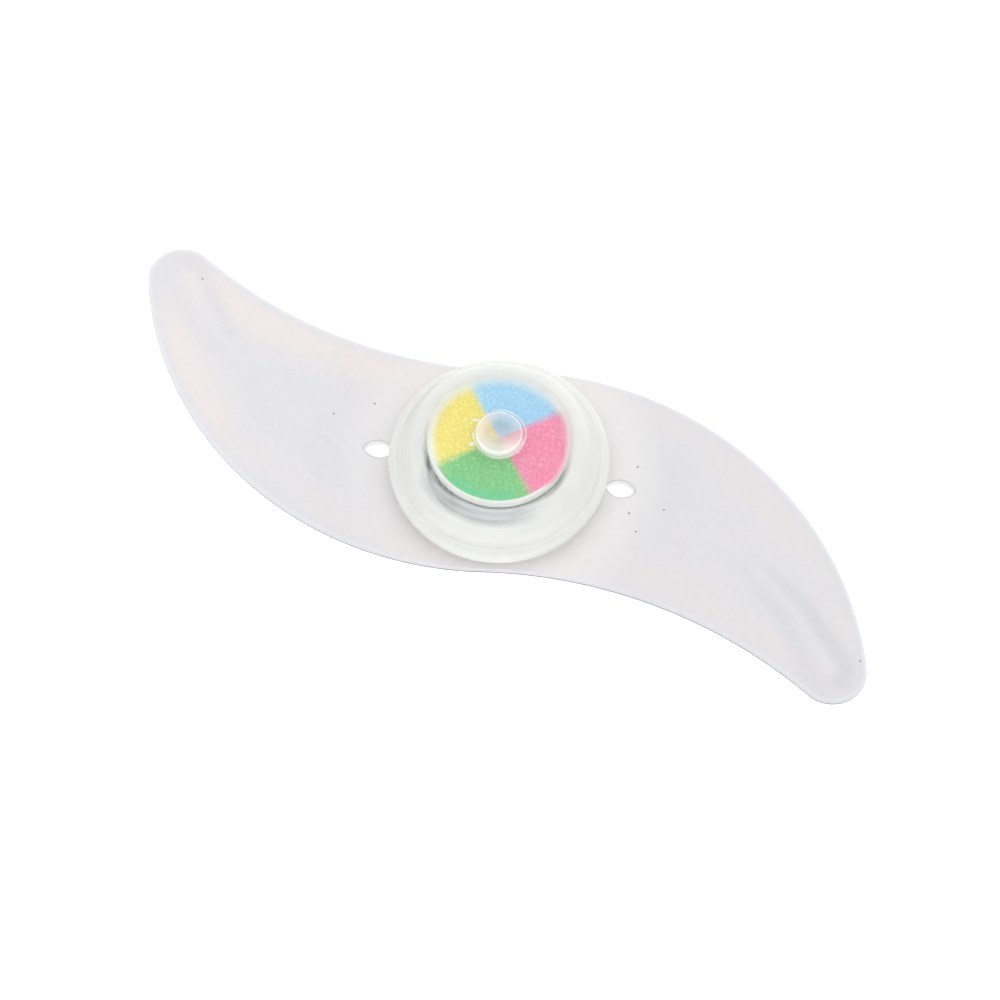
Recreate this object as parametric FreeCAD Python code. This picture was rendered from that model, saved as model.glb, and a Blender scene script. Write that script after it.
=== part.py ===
"""Bicycle wheel spoke light: an S-shaped translucent blade carrying a domed hub with a push button,
a coin-cell light engine and a snap-on rear cover. Millimetres, +Z out of the dome, X through the two
tie slots, origin at the centre of the rear face. Each sub-part is written to parts/NODE.step."""

import FreeCAD
import Part
import math
import os

V = FreeCAD.Vector
UP = V(0, 0, 1)
ORIGIN = V(0, 0, 0)
TURN = 360.0

# Blade, in plan: two arms, each the other turned half a turn about the hub axis
BLADE_THICKNESS = 1.2
BLADE_EDGE_ROUND = 0.45
WAIST_POINT = V(-0.5, 18.15, 0)      # where the convex edge of one arm meets the concave edge of the other
WAIST_SLOPE_DEG = 8.7                # the edge's direction there, rising towards +X
CONVEX_RADIUS = 57.0
CONCAVE_RADIUS = 78.0
TIP_RADIUS = 5.6
BLADE_HOLE_RADIUS = 13.5
SLOT_CENTRE_X = 19.85
SLOT_LENGTH = 4.4
SLOT_WIDTH = 2.5

# Heights of the light engine's stack, from the rear face up
REAR_FLOOR = 1.0
BLADE_BOTTOM = 3.1
BLADE_TOP = BLADE_BOTTOM + BLADE_THICKNESS
DRIVER_BOARD_BOTTOM = 4.9
DRIVER_BOARD_TOP = DRIVER_BOARD_BOTTOM + 0.8
CELLS_BOTTOM = DRIVER_BOARD_TOP + 0.8
CELL_HEIGHT = 3.2
CELLS_TOP = CELLS_BOTTOM + 2 * CELL_HEIGHT
SWITCH_BOARD_BOTTOM = CELLS_TOP + 0.2
SWITCH_BOARD_TOP = SWITCH_BOARD_BOTTOM + 0.6
KEY_SKIRT_BOTTOM = SWITCH_BOARD_TOP + 0.3
KEY_PLATE_BOTTOM = KEY_SKIRT_BOTTOM + 0.35
LABEL_BOTTOM = KEY_PLATE_BOTTOM + 0.8
LABEL_TOP = LABEL_BOTTOM + 0.15
WORKING_GAP = 0.03                   # between the pieces that push on each other, at rest

# Front dome, as (radius, height) points of its outside
DOME_FOOT = (16.2, BLADE_TOP)
DOME_RADIUS = 17.75
DOME_WIDEST_Z = 7.4
RIM_CORNER_Z = 8.0
RIM_CORNER_ROUND = 1.0
DOME_SIDE = ((16.4, 9.0), (15.2, 11.9), (13.2, 14.8), (9.2, 16.45), (0.0, 17.0))
DOME_CROWN_Z = DOME_SIDE[-1][1]
DOME_BORE_RADIUS = 13.3
DOME_BORE_TOP = 6.5
CAVITY_RADIUS = 11.75
CAVITY_ROOF_Z = LABEL_TOP + 0.25

# Push button
BUTTON_RADIUS = 3.7
BUTTON_HOLE_RADIUS = 3.8
BUTTON_TOP_Z = 17.9
BUTTON_CROWN = 0.35                  # how far the button's top face is domed
BUTTON_TOP_ROUND = 0.3
BUTTON_FLANGE_RADIUS = 4.4
BUTTON_FLANGE_THICKNESS = 0.7
BUTTON_POCKET_RADIUS = 4.55
BUTTON_POCKET_TOP = 16.4
BUTTON_FLANGE_TOP = BUTTON_POCKET_TOP - 0.05
BUTTON_FOOT_RADIUS = 2.6

# Rear cover
REAR_RADIUS = 16.0
REAR_FACE_RADIUS = 13.6
SPIGOT_OUTER = 13.2
SPIGOT_INNER = 11.6
SPIGOT_TOP = 6.3
REAR_RECESS_RADIUS = 9.5
REAR_RECESS_DEPTH = 0.3
BOARD_POST_ANGLES = (60.0, 120.0, 240.0, 300.0)
BOARD_POST_RADIUS = 0.8
BOARD_POST_CIRCLE = 10.2
PRY_NOTCH_ANGLE = 90.0
PRY_NOTCH_WIDTH = 5.0
PRY_NOTCH_DEPTH = 1.3
PRY_NOTCH_HEIGHT = 0.9
SEAL_Z = 5.3
SEAL_SECTION_RADIUS = 0.36
SEAL_GROOVE_BOTTOM = 12.5
SEAL_GROOVE_WIDTH = 0.8
SEAL_CLEARANCE = 0.02                # between the seal ring and the bottom of its groove

# Light engine
ENGINE_RADIUS = 11.5
LABEL_RADIUS = 11.4
SWITCH_BOARD_RADIUS = 11.4
DRIVER_BOARD_RADIUS = 11.3
CELL_RADIUS = 10.0
CELL_CAP_RADIUS = 8.6
CELL_CAN_WALL = 0.35
CELL_EDGE_ROUND = 0.3
CELL_CAP_STEP = 0.35                 # how far the cell's cap stands below its crimped edge
HOLDER_INNER = 10.2
CONTACT_PLUS_RADIUS = 7.0
SPRING_SHEET = 0.2                   # thickness of the contact spring's sheet
SPRING_FOOT_RADIUS = 5.0             # inner radius of the flat ring it stands on
SPRING_FOOT_WIDTH = 1.0
SPRING_NECK_RADIUS = 2.2             # outer radius of the flat ring that touches the cell
SPRING_NECK_WIDTH = 1.0
WIRE_RADIUS = 0.25
WIRE_CIRCLE = 11.05
WIRE_NOTCH_RADIUS = 0.36
WIRE_ANGLES = (224.0, 231.0, 238.0)

# Key plate: white disc under the label that carries the button's press to the snap disc
KEY_SKIRT_WALL = 0.8
KEY_BOSS_RADIUS = 1.2
KEY_PIN_ANGLES = (30.0, 150.0, 270.0)
KEY_PIN_CIRCLE = 10.85
KEY_PIN_RADIUS = 0.3
KEY_PIN_HOLE_RADIUS = 0.36
KEY_PIN_END_Z = 12.1
KEY_PIN_HOLE_END_Z = 11.7
KEY_PIN_BOARD_HOLE_RADIUS = 0.42

# Snap disc on the switch board
SNAP_DISC_RADIUS = 2.5
SNAP_DISC_HEIGHT = 0.3
SNAP_DISC_THICKNESS = 0.07

# LEDs, lying in the blade's plane, one towards each arm
LED_RADIUS = 1.5
LED_FLANGE_RADIUS = 1.75
LED_FLANGE_THICKNESS = 1.0
LED_FLANGE_FLAT = 1.6
LED_LENGTH = 5.2
LED_BACK_X = 6.0
LED_Z = 2.95
LEAD_SIZE = 0.45
LEAD_SPACING = 2.54
LEAD_REACH = 1.3

# Parts on the driver board
CHIP_SIZE = (3.9, 4.9, 1.4)
CHIP_LEG = (0.9, 0.42, 0.2)
CHIP_LEG_PITCH = 1.27
CHIP_LEGS_PER_SIDE = 4
CHIP_CHAMFER = 0.15
RESISTOR_SIZE = (2.0, 1.25, 0.5)
RESISTOR_CAP = 0.35
RESISTOR_Y = 7.4
RESISTOR_X = 2.4


def ring(outer, inner, bottom, top):
    """A plain ring or, with no inner radius, a disc."""
    solid = Part.makeCylinder(outer, top - bottom, V(0, 0, bottom))
    if inner:
        solid = solid.cut(Part.makeCylinder(inner, top - bottom + 2, V(0, 0, bottom - 1)))
    return solid


def box(size_x, size_y, bottom, top, centre=(0.0, 0.0)):
    """A box centred in plan on a point."""
    corner = V(centre[0] - size_x / 2, centre[1] - size_y / 2, bottom)
    return Part.makeBox(size_x, size_y, top - bottom, corner)


def turned(shape, degrees):
    """A copy of a shape turned about the hub axis."""
    copy = shape.copy()
    copy.rotate(ORIGIN, UP, degrees)
    return copy


def revolved(edges):
    """The solid swept by a closed profile drawn in the XZ plane."""
    face = Part.Face(Part.Wire(edges))
    return face.revolve(ORIGIN, UP, TURN)


def line(a, b):
    return Part.makeLine(V(a[0], 0, a[1]), V(b[0], 0, b[1]))


def side_arc(start, end, centre):
    """The short arc from start to end about a centre, all given as (radius, height)."""
    radius = math.hypot(start[0] - centre[0], start[1] - centre[1])
    middle = ((start[0] + end[0]) / 2 - centre[0], (start[1] + end[1]) / 2 - centre[1])
    scale = radius / math.hypot(*middle)
    through = (centre[0] + middle[0] * scale, centre[1] + middle[1] * scale)
    return Part.Arc(V(start[0], 0, start[1]), V(through[0], 0, through[1]), V(end[0], 0, end[1])).toShape()


def plan_arc(start, end, centre):
    """The short arc from start to end about a centre in the plan plane."""
    middle = (start + end) * 0.5 - centre
    middle.normalize()
    return Part.Arc(start, centre + middle * start.distanceToPoint(centre), end).toShape()


def arm_circles():
    """Centres of the convex, tip and concave circles of the +X arm, with the two points where they touch."""
    slope = math.radians(WAIST_SLOPE_DEG)
    outward = V(-math.sin(slope), math.cos(slope), 0)
    convex = WAIST_POINT - outward * CONVEX_RADIUS
    concave = -WAIST_POINT - outward * CONCAVE_RADIUS
    to_convex = CONVEX_RADIUS - TIP_RADIUS
    to_concave = CONCAVE_RADIUS + TIP_RADIUS
    apart = concave.distanceToPoint(convex)
    along = (to_convex ** 2 - to_concave ** 2 + apart ** 2) / (2 * apart)
    across = math.sqrt(to_convex ** 2 - along ** 2)
    direction = (concave - convex) * (1 / apart)
    tip = convex + direction * along + V(-direction.y, direction.x, 0) * across
    convex_end = convex + (tip - convex) * (CONVEX_RADIUS / to_convex)
    concave_end = concave + (tip - concave) * (CONCAVE_RADIUS / to_concave)
    return convex, tip, concave, convex_end, concave_end


def blade_face():
    """The S-shaped outline: three touching arcs for each arm."""
    convex, tip, concave, convex_end, concave_end = arm_circles()
    edges = []
    for side in (1, -1):
        tip_far = tip + (tip - ORIGIN).normalize() * TIP_RADIUS
        edges.append(plan_arc(WAIST_POINT * side, convex_end * side, convex * side))
        edges.append(Part.Arc(convex_end * side, tip_far * side, concave_end * side).toShape())
        edges.append(plan_arc(concave_end * side, WAIST_POINT * -side, concave * side))
    return Part.Face(Part.Wire(Part.__sortEdges__(edges)))


def leaf_slot(centre_x):
    """A leaf-shaped hole: two arcs that meet in a point at each end, its length along X."""
    half_length = SLOT_LENGTH / 2
    half_width = SLOT_WIDTH / 2
    left = V(centre_x - half_length, 0, BLADE_BOTTOM - 1)
    right = V(centre_x + half_length, 0, BLADE_BOTTOM - 1)
    upper = Part.Arc(left, V(centre_x, half_width, left.z), right).toShape()
    lower = Part.Arc(right, V(centre_x, -half_width, left.z), left).toShape()
    return Part.Face(Part.Wire([upper, lower])).extrude(UP * (BLADE_THICKNESS + 2))


def make_blade():
    face = blade_face()
    face.translate(V(0, 0, BLADE_BOTTOM))
    plate = face.extrude(UP * BLADE_THICKNESS)
    rims = [e for e in plate.Edges if abs(e.tangentAt(e.FirstParameter).z) < 0.5]
    plate = plate.makeFillet(BLADE_EDGE_ROUND, rims)
    plate = plate.cut(Part.makeCylinder(BLADE_HOLE_RADIUS, 9, V(0, 0, BLADE_BOTTOM - 4)))
    for side in (1, -1):
        plate = plate.cut(leaf_slot(SLOT_CENTRE_X * side))
    return plate


def bulge_radius(foot, widest):
    """Radius of the arc that starts at foot and is vertical at widest, both (radius, height)."""
    step = widest[0] - foot[0]
    rise = widest[1] - foot[1]
    return (step ** 2 + rise ** 2) / (2 * step)


def make_front_dome():
    """Thick clear cover with a beaded rim, hollow for the engine, with a stepped hole for the button."""
    widest = (DOME_RADIUS, DOME_WIDEST_Z)
    lower = bulge_radius(DOME_FOOT, widest)
    rim_corner = (DOME_RADIUS, RIM_CORNER_Z)
    rim_inner = DOME_RADIUS - RIM_CORNER_ROUND
    rim_top = (rim_inner, RIM_CORNER_Z + RIM_CORNER_ROUND)
    side = Part.BSplineCurve()
    side.interpolate([V(r, 0, z) for r, z in DOME_SIDE])
    edges = [
        line((0, BLADE_TOP), DOME_FOOT),
        side_arc(DOME_FOOT, widest, (DOME_RADIUS - lower, DOME_WIDEST_Z)),
        line(widest, rim_corner),
        side_arc(rim_corner, rim_top, (rim_inner, RIM_CORNER_Z)),
        line(rim_top, DOME_SIDE[0]),
        side.toShape(),
        line(DOME_SIDE[-1], (0, BLADE_TOP)),
    ]
    dome = revolved(edges)
    dome = dome.cut(ring(DOME_BORE_RADIUS, 0, BLADE_TOP - 1, DOME_BORE_TOP))
    dome = dome.cut(ring(CAVITY_RADIUS, 0, BLADE_TOP, CAVITY_ROOF_Z))
    dome = dome.cut(ring(BUTTON_POCKET_RADIUS, 0, CAVITY_ROOF_Z - 1, BUTTON_POCKET_TOP))
    return dome.cut(ring(BUTTON_HOLE_RADIUS, 0, CAVITY_ROOF_Z, DOME_CROWN_Z + 1))


def make_push_button():
    """Clear nub with a domed, rounded top, a retaining flange and a foot that presses on the label."""
    flange_bottom = BUTTON_FLANGE_TOP - BUTTON_FLANGE_THICKNESS
    foot_bottom = LABEL_TOP + WORKING_GAP
    edge_z = BUTTON_TOP_Z - BUTTON_CROWN
    crown_radius = (BUTTON_RADIUS ** 2 + BUTTON_CROWN ** 2) / (2 * BUTTON_CROWN)
    edges = [
        line((0, flange_bottom), (BUTTON_RADIUS, flange_bottom)),
        line((BUTTON_RADIUS, flange_bottom), (BUTTON_RADIUS, edge_z)),
        side_arc((BUTTON_RADIUS, edge_z), (0, BUTTON_TOP_Z), (0.0, BUTTON_TOP_Z - crown_radius)),
        line((0, BUTTON_TOP_Z), (0, flange_bottom)),
    ]
    nub = revolved(edges)
    rim = [e for e in nub.Edges if e.BoundBox.ZLength < 1e-6 and abs(e.BoundBox.ZMin - edge_z) < 1e-6]
    nub = nub.makeFillet(BUTTON_TOP_ROUND, rim)
    nub = nub.fuse(ring(BUTTON_FLANGE_RADIUS, 0, flange_bottom, BUTTON_FLANGE_TOP))
    nub = nub.fuse(ring(BUTTON_FOOT_RADIUS, 0, foot_bottom, flange_bottom))
    return nub.removeSplitter()


def make_rear_cover():
    """Dished cover whose spigot passes through the blade into the dome and carries the light engine."""
    bulge = bulge_radius((REAR_FACE_RADIUS, 0), (REAR_RADIUS, BLADE_BOTTOM))
    edges = [
        line((0, 0), (REAR_FACE_RADIUS, 0)),
        side_arc((REAR_FACE_RADIUS, 0), (REAR_RADIUS, BLADE_BOTTOM), (REAR_RADIUS - bulge, BLADE_BOTTOM)),
        line((REAR_RADIUS, BLADE_BOTTOM), (0, BLADE_BOTTOM)),
        line((0, BLADE_BOTTOM), (0, 0)),
    ]
    cover = revolved(edges)
    cover = cover.fuse(ring(SPIGOT_OUTER, 0, BLADE_BOTTOM - 0.5, SPIGOT_TOP))
    cover = cover.cut(ring(SPIGOT_INNER, 0, REAR_FLOOR, SPIGOT_TOP + 1))
    half_groove = SEAL_GROOVE_WIDTH / 2
    cover = cover.cut(ring(SPIGOT_OUTER + 1, SEAL_GROOVE_BOTTOM, SEAL_Z - half_groove, SEAL_Z + half_groove))
    cover = cover.cut(ring(REAR_RECESS_RADIUS, 0, -1, REAR_RECESS_DEPTH))
    for angle in BOARD_POST_ANGLES:
        foot = V(BOARD_POST_CIRCLE, 0, REAR_FLOOR - 0.2)
        post = Part.makeCylinder(BOARD_POST_RADIUS, DRIVER_BOARD_BOTTOM - foot.z, foot)
        cover = cover.fuse(turned(post, angle))
    notch_x = REAR_RADIUS - PRY_NOTCH_DEPTH / 2 + 1
    notch = box(PRY_NOTCH_DEPTH + 2, PRY_NOTCH_WIDTH, BLADE_BOTTOM - PRY_NOTCH_HEIGHT, BLADE_BOTTOM + 1,
                (notch_x, 0))
    return cover.cut(turned(notch, PRY_NOTCH_ANGLE)).removeSplitter()


def make_seal_ring():
    section_centre = SEAL_GROOVE_BOTTOM + SEAL_SECTION_RADIUS + SEAL_CLEARANCE
    return Part.makeTorus(section_centre, SEAL_SECTION_RADIUS, V(0, 0, SEAL_Z))


def wire_notches(bottom, top):
    """The three open grooves that the link wires run in."""
    notches = []
    for angle in WIRE_ANGLES:
        groove = Part.makeCylinder(WIRE_NOTCH_RADIUS, top - bottom, V(WIRE_CIRCLE, 0, bottom))
        mouth = box(2.0, 2 * WIRE_NOTCH_RADIUS, bottom, top, (WIRE_CIRCLE + 1.0, 0))
        notches.append(turned(groove.fuse(mouth), angle))
    return notches


def notched(solid, bottom, top):
    for notch in wire_notches(bottom - 1, top + 1):
        solid = solid.cut(notch)
    return solid


def key_pins(radius, bottom, top):
    """The key plate's three guide pins, or with a larger radius the holes they run in."""
    pin = Part.makeCylinder(radius, top - bottom, V(KEY_PIN_CIRCLE, 0, bottom))
    return [turned(pin, angle) for angle in KEY_PIN_ANGLES]


def make_label():
    return ring(LABEL_RADIUS, 0, LABEL_BOTTOM, LABEL_TOP)


def make_key_plate():
    """White plate with a skirt, guide pins and a centre boss that presses the snap disc."""
    plate = ring(ENGINE_RADIUS, 0, KEY_PLATE_BOTTOM, LABEL_BOTTOM)
    skirt_inner = ENGINE_RADIUS - KEY_SKIRT_WALL
    plate = plate.fuse(ring(ENGINE_RADIUS, skirt_inner, KEY_SKIRT_BOTTOM, KEY_PLATE_BOTTOM))
    boss_bottom = SWITCH_BOARD_TOP + SNAP_DISC_HEIGHT + WORKING_GAP
    plate = plate.fuse(ring(KEY_BOSS_RADIUS, 0, boss_bottom, KEY_PLATE_BOTTOM))
    return plate.fuse(key_pins(KEY_PIN_RADIUS, KEY_PIN_END_Z, KEY_PLATE_BOTTOM + 0.2)).removeSplitter()


def make_switch_board():
    board = ring(SWITCH_BOARD_RADIUS, 0, SWITCH_BOARD_BOTTOM, SWITCH_BOARD_TOP)
    board = board.cut(key_pins(KEY_PIN_BOARD_HOLE_RADIUS, SWITCH_BOARD_BOTTOM - 1, SWITCH_BOARD_TOP + 1))
    return notched(board, SWITCH_BOARD_BOTTOM, SWITCH_BOARD_TOP)


def make_switch_snap_disc():
    """Thin sprung disc, domed upwards, that clicks flat when pressed."""
    outer = (SNAP_DISC_RADIUS ** 2 + SNAP_DISC_HEIGHT ** 2) / (2 * SNAP_DISC_HEIGHT)
    centre_z = SWITCH_BOARD_TOP + SNAP_DISC_HEIGHT - outer
    inner_edge = math.sqrt((outer - SNAP_DISC_THICKNESS) ** 2 - (SWITCH_BOARD_TOP - centre_z) ** 2)
    crown = (0.0, SWITCH_BOARD_TOP + SNAP_DISC_HEIGHT)
    underside = (0.0, crown[1] - SNAP_DISC_THICKNESS)
    edges = [
        line((inner_edge, SWITCH_BOARD_TOP), (SNAP_DISC_RADIUS, SWITCH_BOARD_TOP)),
        side_arc((SNAP_DISC_RADIUS, SWITCH_BOARD_TOP), crown, (0.0, centre_z)),
        line(crown, underside),
        side_arc(underside, (inner_edge, SWITCH_BOARD_TOP), (0.0, centre_z)),
    ]
    return revolved(edges)


def make_driver_board():
    board = ring(DRIVER_BOARD_RADIUS, 0, DRIVER_BOARD_BOTTOM, DRIVER_BOARD_TOP)
    return notched(board, DRIVER_BOARD_BOTTOM, DRIVER_BOARD_TOP)


def make_cell_holder():
    """Clear sleeve around the cells, grooved for the link wires and drilled for the key plate's pins."""
    holder = ring(ENGINE_RADIUS, HOLDER_INNER, DRIVER_BOARD_TOP, SWITCH_BOARD_BOTTOM)
    holder = holder.cut(key_pins(KEY_PIN_HOLE_RADIUS, KEY_PIN_HOLE_END_Z, SWITCH_BOARD_BOTTOM + 1))
    return notched(holder, DRIVER_BOARD_TOP, SWITCH_BOARD_BOTTOM)


def make_link_wires():
    wire = Part.makeCylinder(WIRE_RADIUS, SWITCH_BOARD_TOP - DRIVER_BOARD_BOTTOM,
                             V(WIRE_CIRCLE, 0, DRIVER_BOARD_BOTTOM))
    return Part.makeCompound([turned(wire, angle) for angle in WIRE_ANGLES])


def cell_pieces(bottom):
    """A coin cell as its can, insulating seal and cap, the can's flat face up."""
    top = bottom + CELL_HEIGHT
    can = ring(CELL_RADIUS, 0, bottom + CELL_CAP_STEP, top)
    can = can.cut(ring(CELL_RADIUS - CELL_CAN_WALL, 0, bottom, top - CELL_CAN_WALL))
    top_edges = [e for e in can.Edges if e.BoundBox.ZMin > top - 1e-6]
    rim = [e for e in top_edges if e.BoundBox.XLength > 2 * CELL_RADIUS - 0.1]
    can = can.makeFillet(CELL_EDGE_ROUND, rim)
    seal = ring(CELL_RADIUS - CELL_CAN_WALL, CELL_CAP_RADIUS, bottom + CELL_CAP_STEP, top - CELL_CAN_WALL)
    cap = ring(CELL_CAP_RADIUS, 0, bottom, top - CELL_CAN_WALL)
    cap = cap.makeFillet(CELL_EDGE_ROUND, [e for e in cap.Edges if e.BoundBox.ZMax < bottom + 1e-6])
    return {"can": can, "seal": seal, "cap": cap}


def make_contact_plus():
    return ring(CONTACT_PLUS_RADIUS, 0, CELLS_TOP, SWITCH_BOARD_BOTTOM)


def make_contact_spring():
    """Dished spring washer that presses the cells up."""
    foot_top = DRIVER_BOARD_TOP + SPRING_SHEET
    neck_bottom = CELLS_BOTTOM - SPRING_SHEET
    foot_end = SPRING_FOOT_RADIUS + SPRING_FOOT_WIDTH
    neck_end = SPRING_NECK_RADIUS - SPRING_NECK_WIDTH
    corners = (
        (SPRING_FOOT_RADIUS, DRIVER_BOARD_TOP),
        (foot_end, DRIVER_BOARD_TOP),
        (foot_end, foot_top),
        (SPRING_FOOT_RADIUS, foot_top),
        (SPRING_NECK_RADIUS, CELLS_BOTTOM),
        (neck_end, CELLS_BOTTOM),
        (neck_end, neck_bottom),
        (SPRING_NECK_RADIUS, neck_bottom),
    )
    edges = [line(a, b) for a, b in zip(corners, corners[1:] + corners[:1])]
    return revolved(edges)


def make_led():
    """Clear LED lying along +X: flanged body with one flat side and a round nose."""
    axis = V(1, 0, 0)
    body = Part.makeCylinder(LED_RADIUS, LED_LENGTH - LED_RADIUS, V(LED_BACK_X, 0, LED_Z), axis)
    nose = Part.makeSphere(LED_RADIUS, V(LED_BACK_X + LED_LENGTH - LED_RADIUS, 0, LED_Z))
    flange = Part.makeCylinder(LED_FLANGE_RADIUS, LED_FLANGE_THICKNESS, V(LED_BACK_X, 0, LED_Z), axis)
    block = 4 * LED_RADIUS
    beyond_flat = Part.makeBox(block, block, block, V(LED_BACK_X - 1, LED_FLANGE_FLAT, LED_Z - block / 2))
    return body.fuse([nose, flange]).cut(beyond_flat).removeSplitter()


def make_led_leads():
    """Two square leads that leave the LED's back and bend up to the driver board."""
    solids = []
    for side in (1, -1):
        y = side * LEAD_SPACING / 2
        run = Part.makeBox(LEAD_REACH, LEAD_SIZE, LEAD_SIZE,
                           V(LED_BACK_X - LEAD_REACH, y - LEAD_SIZE / 2, LED_Z - LEAD_SIZE / 2))
        rise = Part.makeBox(LEAD_SIZE, LEAD_SIZE, DRIVER_BOARD_BOTTOM - LED_Z + LEAD_SIZE / 2,
                            V(LED_BACK_X - LEAD_REACH, y - LEAD_SIZE / 2, LED_Z - LEAD_SIZE / 2))
        solids.append(run.fuse(rise).removeSplitter())
    return solids


def make_controller_chip():
    """Flat moulded chip body hanging under the driver board."""
    width, length, height = CHIP_SIZE
    top = DRIVER_BOARD_BOTTOM - CHIP_LEG[2] / 2
    body = box(width, length, top - height, top)
    return body.makeChamfer(CHIP_CHAMFER, [e for e in body.Edges if e.BoundBox.ZMax < top - height + 1e-6])


def make_chip_legs():
    """A row of flat legs on each long side of the chip, against the board."""
    reach, width, thickness = CHIP_LEG
    legs = []
    for side in (1, -1):
        for row in range(CHIP_LEGS_PER_SIDE):
            from_middle = (row - (CHIP_LEGS_PER_SIDE - 1) / 2) * CHIP_LEG_PITCH
            centre = (side * (CHIP_SIZE[0] + reach) / 2, from_middle)
            legs.append(box(reach, width, DRIVER_BOARD_BOTTOM - thickness, DRIVER_BOARD_BOTTOM, centre))
    return Part.makeCompound(legs)


def make_resistors():
    """Two chip resistors, each a body between two end caps, as separate solids."""
    length, width, height = RESISTOR_SIZE
    solids = []
    for side in (1, -1):
        x, y = side * RESISTOR_X, side * RESISTOR_Y
        core = length - 2 * RESISTOR_CAP
        solids.append(box(core, width, DRIVER_BOARD_BOTTOM - height, DRIVER_BOARD_BOTTOM, (x, y)))
        for end in (1, -1):
            centre = (x + end * (core + RESISTOR_CAP) / 2, y)
            solids.append(box(RESISTOR_CAP, width, DRIVER_BOARD_BOTTOM - height, DRIVER_BOARD_BOTTOM, centre))
    return Part.makeCompound(solids)


def all_parts():
    parts = {
        "blade": make_blade(),
        "front_dome": make_front_dome(),
        "push_button": make_push_button(),
        "rear_cover": make_rear_cover(),
        "seal_ring": make_seal_ring(),
        "label": make_label(),
        "key_plate": make_key_plate(),
        "switch_board": make_switch_board(),
        "switch_snap_disc": make_switch_snap_disc(),
        "cell_holder": make_cell_holder(),
        "contact_plus": make_contact_plus(),
        "contact_spring": make_contact_spring(),
        "driver_board": make_driver_board(),
        "controller_chip": make_controller_chip(),
        "chip_legs": make_chip_legs(),
        "resistors": make_resistors(),
        "link_wires": make_link_wires(),
    }
    for number in (1, 2):
        bottom = CELLS_TOP - number * CELL_HEIGHT
        for name, shape in cell_pieces(bottom).items():
            parts[f"cell_{number}_{name}"] = shape
    leads = make_led_leads()
    for name, angle in (("right", 0.0), ("left", 180.0)):
        parts[f"led_{name}"] = turned(make_led(), angle)
        parts[f"led_{name}_leads"] = Part.makeCompound([turned(lead, angle) for lead in leads])
    return parts


def main():
    os.makedirs("parts", exist_ok=True)
    for name, shape in all_parts().items():
        solids = shape.Solids
        assert solids and all(s.isValid() and s.Volume > 0 for s in solids), name
        if len(solids) == 1:
            shape = solids[0]
        shape.exportStep(f"parts/{name}.step")
        print(f"{name}: {len(solids)} solid(s), {sum(s.Volume for s in solids):.2f} mm3")


main()
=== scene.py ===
"""The looks of a bicycle wheel spoke light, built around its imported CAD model.

Objects are in metres, in the CAD model's frame: +Z along the hub's axis towards the nub, X through the two
slots. Sizes and places below are in millimetres, unless a comment says otherwise.
"""

import math

import bmesh
import bpy
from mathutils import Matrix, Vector
from mathutils.geometry import delaunay_2d_cdt


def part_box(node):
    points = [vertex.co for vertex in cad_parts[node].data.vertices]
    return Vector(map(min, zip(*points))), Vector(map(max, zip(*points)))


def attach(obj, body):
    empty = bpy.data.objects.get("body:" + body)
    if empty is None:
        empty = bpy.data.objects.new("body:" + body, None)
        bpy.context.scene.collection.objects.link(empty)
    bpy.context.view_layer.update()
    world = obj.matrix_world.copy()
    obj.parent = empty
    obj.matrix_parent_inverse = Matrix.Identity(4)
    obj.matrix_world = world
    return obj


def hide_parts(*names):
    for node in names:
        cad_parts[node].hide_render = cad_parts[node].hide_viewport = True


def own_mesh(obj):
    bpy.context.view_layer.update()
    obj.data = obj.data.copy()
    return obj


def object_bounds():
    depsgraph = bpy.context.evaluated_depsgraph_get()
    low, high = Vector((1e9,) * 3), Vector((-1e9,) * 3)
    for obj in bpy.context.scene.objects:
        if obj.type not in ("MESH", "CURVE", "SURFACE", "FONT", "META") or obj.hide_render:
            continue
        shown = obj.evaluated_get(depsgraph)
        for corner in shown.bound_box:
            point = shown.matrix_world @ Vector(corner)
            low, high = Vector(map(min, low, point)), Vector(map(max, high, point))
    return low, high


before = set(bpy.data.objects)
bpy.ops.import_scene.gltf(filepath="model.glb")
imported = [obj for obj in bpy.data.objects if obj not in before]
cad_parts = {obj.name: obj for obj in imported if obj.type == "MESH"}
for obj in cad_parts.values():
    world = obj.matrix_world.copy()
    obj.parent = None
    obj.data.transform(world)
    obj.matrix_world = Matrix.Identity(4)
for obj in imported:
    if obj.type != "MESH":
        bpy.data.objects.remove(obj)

CAD_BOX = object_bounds()
MM = 0.001
TURN = 2 * math.pi

# Blade: two arms of three touching arcs each, half a turn apart, round a hub hole and two leaf-shaped slots
WAIST_POINT = Vector((-0.5, 18.15))
WAIST_SLOPE = math.radians(8.7)
CONVEX_RADIUS = 57.0
CONCAVE_RADIUS = 78.0
TIP_RADIUS = 5.6
OUTLINE_STEP = 0.8
HUB_HOLE_RADIUS = 13.5
HUB_HOLE_STEPS = 96
SLOT_X = 19.85
SLOT_LENGTH = 4.4
SLOT_WIDTH = 2.5
SLOT_STEPS = 14
BLADE_ROUND = 0.4
BLADE_ROUND_STEPS = 5
GRID_STEP = 1.0
GRID_REACH_X = 64.0
GRID_REACH_Y = 32.0
ROW_SPACING = 0.866

# The low rib along each arm, and the dust on the blade
RIDGE_LINE = ((33.0, -4.0), (42.0, -9.1), (50.2, -16.1), (57.2, -25.2))
RIDGE_HALF_WIDTH = 3.4
RIDGE_HEIGHT = 0.25
SPECKS = ((-28.2, 5.0), (-22.0, 8.0), (-54.4, 25.5), (21.9, 4.4), (21.9, -4.0), (27.3, -2.4), (23.5, -7.0),
          (62.0, -22.9))
SPECK_RADIUS = 0.14

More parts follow.
